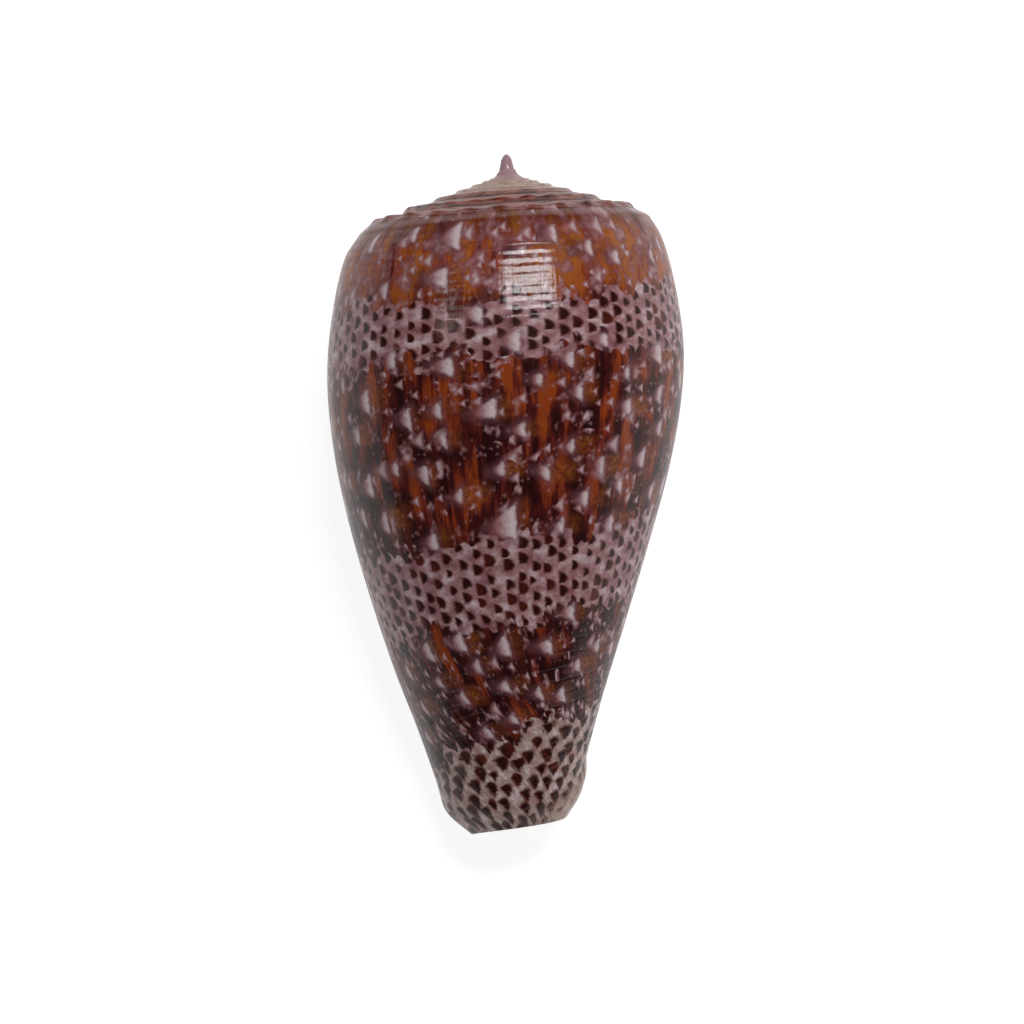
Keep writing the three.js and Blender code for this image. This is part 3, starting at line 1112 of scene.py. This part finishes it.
    def spire(self, r: Recipe, under: Any, place: Any, reach: Any) -> Any:
        """The colours of the spire, over those of the body whorl.

        Args:
            r: the material.
            under: the body whorl's colour.
            place: millimetres round the whorl and down it.
            reach: millimetres from the axis.

        Returns:
            The colour.
        """
        is_spire = r.add("Attribute", attribute_name="spire", out="Fac")
        crest = r.add("Attribute", attribute_name="crest", out="Fac")
        flame = self.patches(r, place, (4.6, 1.1), 70.0)
        late = r.add("ValToRGB", flame, stops=(
            (0.34, self.near_black), (0.43, self.maroon), (0.50, self.chestnut), (0.58, self.rose),
            (0.72, self.lilac),
        ))
        early = r.add("ValToRGB", flame, stops=(
            (0.30, self.chestnut), (0.36, self.mauve), (0.43, self.beige), (0.56, self.cream),
        ))
        grown = r.add("MapRange", reach, 4.2, 6.8, 0.0, 1.0, interpolation_type="SMOOTHSTEP")
        colour = r.add("Mix", grown, early, late, data_type="RGBA")
        thread = self.patches(r, place, (5.0, 0.22), 73.0, 2.0)
        fine = r.add("MapRange", thread, 0.52, 0.66, 0.0, 0.22)
        colour = r.add("Mix", fine, colour, linear(self.beige), data_type="RGBA")
        seam = r.add("MapRange", crest, 0.0, 0.16, 0.7, 0.0, interpolation_type="SMOOTHSTEP")
        seam = r.add("Math", seam, r.add("MapRange", grown, 0.0, 1.0, 0.4, 1.0), operation="MULTIPLY")
        colour = r.add("Mix", seam, colour, linear(self.near_black), data_type="RGBA")
        edge = r.add("MapRange", crest, 0.88, 1.0, 0.0, 0.35, interpolation_type="SMOOTHSTEP")
        colour = r.add("Mix", edge, colour, linear(self.rose), data_type="RGBA")
        tip = r.add("MapRange", reach, 2.2, 1.0, 0.0, 1.0, interpolation_type="SMOOTHSTEP")
        colour = r.add("Mix", tip, colour, linear(self.tip), data_type="RGBA")
        return r.add("Mix", is_spire, under, colour, data_type="RGBA")

    def tents(self, r: Recipe, under: Any, rough: Any) -> Any:
        """Lays the larger tents over a ground.

        Args:
            r: the material.
            under: the ground's colour.
            rough: an uneven number round 0, to fray them with.

        Returns:
            The colour.
        """
        tent = r.add("Attribute", attribute_name="tent", out="Fac")
        pale = r.add("Attribute", attribute_name="pale", out="Fac")
        frayed = r.add("Math", rough, 0.45, tent, operation="MULTIPLY_ADD")
        halo = r.add("MapRange", frayed, 0.75, 0.0, 0.0, 0.5, interpolation_type="SMOOTHSTEP")
        under = r.add("Mix", halo, under, linear(self.violet), data_type="RGBA")
        inside = r.add("MapRange", frayed, 0.16, -0.24, 0.0, 1.0, interpolation_type="SMOOTHSTEP")
        fade = r.add("MapRange", pale, 0.0, 0.6, 0.1, 1.0, interpolation_type="SMOOTHSTEP")
        tone = r.add("ValToRGB", r.add("Math", rough, 0.5, pale, operation="MULTIPLY_ADD"), stops=(
            (0.1, self.violet), (0.3, self.mauve), (0.5, self.lilac), (0.85, self.white),
        ))
        return r.add("Mix", r.add("Math", inside, fade, operation="MULTIPLY"), under, tone,
                     data_type="RGBA")

    def material(self) -> bpy.types.Material:
        """Mixes the glaze.

        Returns:
            The material.
        """
        r = Recipe("cone_glaze")
        age = r.add("Attribute", attribute_name="age", out="Fac")
        row = r.add("Attribute", attribute_name="row", out="Fac")
        column = r.add("Attribute", attribute_name="column", out="Fac")
        dotted = r.add("Attribute", attribute_name="dotted", out="Fac")
        fringe = r.add("Attribute", attribute_name="fringe", out="Fac")
        shade = r.add("Attribute", attribute_name="shade", out="Fac")
        foot = r.add("Attribute", attribute_name="foot", out="Fac")
        reach = r.add("Attribute", attribute_name="reach", out="Fac")
        along = r.add("Math", age, self.girth, operation="MULTIPLY")
        place = r.add("CombineXYZ", along, row, 0.0)
        ragged = self.patches(r, place, (0.55, 0.55), 1.0, 2.0)
        rough = r.add("MapRange", ragged, 0.2, 0.8, -0.3, 0.3)

        colour = self.brown(r, place, row)
        streak = r.add("ValToRGB", ragged, stops=((0.35, self.chestnut), (0.65, self.ochre)))
        colour = r.add("Mix", r.add("Math", fringe, 0.7, operation="MULTIPLY"), colour, streak,
                       data_type="RGBA")
        colour = r.add("Mix", r.add("Math", shade, 0.6, operation="MULTIPLY"), colour,
                       linear(self.near_black), data_type="RGBA")
        colour = self.strewn(r, colour, place)

        band = self.band(r, place, column, row, rough)
        teeth = r.add("Math", r.add("Math", column, 2.0, operation="MULTIPLY"), 0.5, operation="PINGPONG")
        edge = r.add("Math", r.add("MapRange", teeth, 0.0, 0.5, -0.3, 0.3), dotted, operation="ADD")
        uneven = self.patches(r, place, (2.2, 1.8), 80.0, 1.0)
        edge = r.add("Math", r.add("MapRange", uneven, 0.3, 0.7, -1.1, 1.1), edge, operation="ADD")
        in_band = r.add("MapRange", edge, -0.12, 0.20, 0.0, 1.0, interpolation_type="SMOOTHSTEP")
        colour = r.add("Mix", in_band, colour, band, data_type="RGBA")
        colour = self.tents(r, colour, rough)
        bare = r.add("ValToRGB", self.patches(r, place, (2.4, 0.9), 90.0), stops=(
            (0.34, self.rose), (0.44, self.beige), (0.58, self.cream), (0.72, self.white),
        ))
        colour = r.add("Mix", r.add("Math", foot, 0.85, operation="MULTIPLY"), colour, bare,
                       data_type="RGBA")
        colour = self.spire(r, colour, place, reach)

        bump = r.add("Bump", 1.0, MM, None, self.relief(r, place, row, reach))
        shader = r.add("BsdfPrincipled", colour)
        sockets = shader.node.inputs
        sockets["Roughness"].default_value = self.roughness
        sockets["IOR"].default_value = self.ior
        sockets["Specular IOR Level"].default_value = self.pigment_gloss
        sockets["Coat Weight"].default_value = self.coat_weight
        sockets["Coat Roughness"].default_value = self.coat_roughness
        sockets["Coat IOR"].default_value = self.ior
        r.tree.links.new(bump, sockets["Normal"])
        r.tree.links.new(bump, sockets["Coat Normal"])
        return r.surface(shader)


@dataclass(frozen=True)
class PorcelainLining:
    """The same aragonite inside the aperture, without pigment: smooth, milky and faintly violet."""

    ior: float = 1.6
    roughness: float = 0.22
    white: str = "#bdaeab"
    violet: str = "#a7969f"
    cream: str = "#b7a896"

    def material(self) -> bpy.types.Material:
        """Mixes the lining.

        Returns:
            The material.
        """
        r = Recipe("porcelain_lining")
        place = r.add("TexCoord", out="Object")
        cloud = r.add("TexNoise", place, 260.0, 3.0, 0.55, 2.0, 0.2)
        tones = ((0.35, self.violet), (0.5, self.white), (0.68, self.cream))
        colour = r.add("ValToRGB", cloud, stops=tones)
        fine = r.add("TexNoise", place, 1900.0, 3.0, 0.6, 2.0, 0.0)
        height = r.add("Math", fine, 0.02, operation="MULTIPLY")
        bump = r.add("Bump", 1.0, MM, None, height)
        shader = r.add("BsdfPrincipled", colour)
        shader.node.inputs["Roughness"].default_value = self.roughness
        shader.node.inputs["IOR"].default_value = self.ior
        r.tree.links.new(bump, shader.node.inputs["Normal"])
        return r.surface(shader)


@dataclass(frozen=True)
class PaperTable:
    """Matt white paper on a light table. To the eye it is one even, very pale tone."""

    white: str = "#a2a2a2"
    grey: str = "#9c9c9c"
    light: str = "#fefefe"
    roughness: float = 0.95
    gloss: float = 0.1
    glow: float = 0.9

    def material(self) -> bpy.types.Material:
        """Mixes the paper.

        Returns:
            The material.
        """
        r = Recipe("paper_table")
        place = r.add("TexCoord", out="Object")
        grain = r.add("TexNoise", place, 2500.0, 2.0, 0.5, 2.0, 0.0)
        colour = r.add("ValToRGB", grain, stops=((0.0, self.grey), (1.0, self.white)))
        shader = r.add("BsdfPrincipled", colour)
        shader.node.inputs["Roughness"].default_value = self.roughness
        shader.node.inputs["Specular IOR Level"].default_value = self.gloss
        shader.node.inputs["Emission Color"].default_value = linear(self.light)
        shader.node.inputs["Emission Strength"].default_value = self.glow
        return r.surface(shader)


@dataclass
class ConeShell:
    """The shell: its outside with the cavity taken out, laid down on its aperture."""

    growth: Growth = field(default_factory=Growth)
    glaze: ConeGlaze = field(default_factory=ConeGlaze)
    lining: PorcelainLining = field(default_factory=PorcelainLining)
    pitch: float = rad(12.1443)
    roll: float = rad(4.3976)

    def pose(self) -> Matrix:
        """The turn that lays the upright shell down."""
        return Matrix.Rotation(self.pitch, 4, "X") @ Matrix.Rotation(self.roll, 4, "Y")

    def hollowed(self) -> bpy.types.Object:
        """Gives the outer shell and the cavity their finishes and takes the one out of the other.

        Returns:
            The hollow shell, upright and in millimetres.
        """
        outer = OuterShell(self.growth, Markings(self.growth)).build()
        cavity = Cavity(self.growth).build()
        for material in (self.glaze.material(), self.lining.material()):
            outer.data.materials.append(material)
            cavity.data.materials.append(material)
        cut = outer.modifiers.new("hollow", "BOOLEAN")
        cut.operation = "DIFFERENCE"
        cut.solver = "MANIFOLD"
        cut.object = cavity
        bpy.context.view_layer.update()
        evaluated = outer.evaluated_get(bpy.context.evaluated_depsgraph_get())
        mesh = bpy.data.meshes.new_from_object(evaluated)
        mesh.name = "cone_shell"
        bpy.data.objects.remove(outer)
        bpy.data.objects.remove(cavity)
        shell = bpy.data.objects.new("cone_shell", mesh)
        bpy.context.scene.collection.objects.link(shell)
        return shell

    def lay_down(self, shell: bpy.types.Object) -> None:
        """Brings the shell into the shared frame and rubs it flat where it touches the table.

        Args:
            shell: the hollow shell, upright and in millimetres.
        """
        low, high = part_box("shell")
        shell.data.transform(Matrix.Scale(MM, 4) @ self.pose())
        co = np.empty(len(shell.data.vertices) * 3, np.float32)
        shell.data.vertices.foreach_get("co", co)
        co = co.reshape(-1, 3)
        ends = (co.min(0) + co.max(0)) / 2
        co[:, 0] += (low.x + high.x) / 2 - ends[0]
        co[:, 1] += (low.y + high.y) / 2 - ends[1]
        co[:, 2] += high.z - co[:, 2].max()
        co[:, 2] = np.maximum(co[:, 2], 0.0)
        shell.data.vertices.foreach_set("co", co.reshape(-1))
        shell.data.update()

    def build(self) -> bpy.types.Object:
        """Builds the dressed shell and puts it in the place of its CAD solid.

        Returns:
            The shell.
        """
        shell = self.hollowed()
        self.lay_down(shell)
        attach(shell, "root")
        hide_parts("shell")
        return shell


@dataclass
class Studio:
    """A white table, a white room, a window and a reflector, and the camera that looks down."""

    shell: ConeShell
    centre: Vector
    lens: float = 200.0
    distance: float = 0.4954
    roll: float = rad(1.43)
    aim: tuple[float, float, float] = (0.00058, -0.00215, 0.0)
    light_distance: float = 0.6
    table_half: float = 3.0
    room: float = 0.06

    def axes(self) -> Matrix:
        """The upright frame's axes as they lie in the shared frame."""
        return self.shell.pose().to_3x3()

    def direction(self, right: float, up: float) -> Vector:
        """A direction from the shell.

        Args:
            right: degrees to the right of the camera, as it sees the shell.
            up: degrees towards the apex from the camera.

        Returns:
            A unit vector in the shared frame.
        """
        x, y = math.sin(rad(right)), math.sin(rad(up))
        return self.axes() @ Vector((x, y, math.sqrt(max(0.05, 1 - x * x - y * y)))).normalized()

    def camera(self) -> bpy.types.Object:
        """Puts up the camera, square to the coiling axis.

        Returns:
            The camera.
        """
        data = bpy.data.cameras.new("camera")
        data.lens = self.lens
        data.clip_start = 0.01
        camera = bpy.data.objects.new("camera", data)
        bpy.context.scene.collection.objects.link(camera)
        turn = self.axes().to_4x4() @ Matrix.Rotation(-self.roll, 4, "Z")
        aim = self.centre + turn.to_3x3() @ Vector(self.aim)
        camera.matrix_world = Matrix.Translation(aim + self.direction(0, 0) * self.distance) @ turn
        bpy.context.scene.camera = camera
        return camera

    def softbox(self, name: str, right: float, up: float, size: Span, power: float) -> None:
        """Hangs a soft light that looks at the shell.

        Args:
            name: of the light.
            right: degrees to the right of the camera.
            up: degrees towards the apex.
            size: width and height in metres.
            power: in watts.
        """
        data = bpy.data.lights.new(name, "AREA")
        data.shape = "RECTANGLE"
        data.size, data.size_y = size
        data.energy = power
        light = bpy.data.objects.new(name, data)
        bpy.context.scene.collection.objects.link(light)
        towards = self.direction(right, up)
        y = self.axes() @ Vector((0, 1, 0))
        x = y.cross(towards).normalized()
        y = towards.cross(x)
        frame = Matrix((x, y, towards)).transposed().to_4x4()
        light.matrix_world = Matrix.Translation(self.centre + towards * self.light_distance) @ frame

    def table(self) -> bpy.types.Object:
        """Lays the table top.

        Returns:
            The table.
        """
        mesh = bpy.data.meshes.new("table")
        edge = self.table_half
        corners = [(-edge, -edge, 0), (edge, -edge, 0), (edge, edge, 0), (-edge, edge, 0)]
        mesh.from_pydata(corners, [], [(0, 1, 2, 3)])
        mesh.materials.append(PaperTable().material())
        table = bpy.data.objects.new("table", mesh)
        bpy.context.scene.collection.objects.link(table)
        return table

    def build(self) -> None:
        """Sets everything up."""
        self.table()
        self.camera()
        self.softbox("window", 13.0, 27.0, (0.28, 0.13), 2.6)
        self.softbox("reflector", -38.0, 17.0, (0.12, 0.08), 0.12)
        world = bpy.data.worlds.new("white_room")
        world.use_nodes = True
        world.node_tree.nodes["Background"].inputs["Color"].default_value = (1, 1, 1, 1)
        world.node_tree.nodes["Background"].inputs["Strength"].default_value = self.room
        bpy.context.scene.world = world
        bpy.context.scene.view_settings.view_transform = "Standard"


def main() -> None:
    """Builds the shell and the studio, and notes how big the visual model is."""
    logging.basicConfig(level=logging.INFO, format="%(name)s: %(message)s")
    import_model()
    shell = ConeShell()
    made = shell.build()
    log.info("shell: %d points, %d faces", len(made.data.vertices), len(made.data.polygons))
    low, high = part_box("shell")
    Studio(shell, (low + high) / 2).build()
    log.info("studio is set up")


if __name__ == "__main__":
    main()
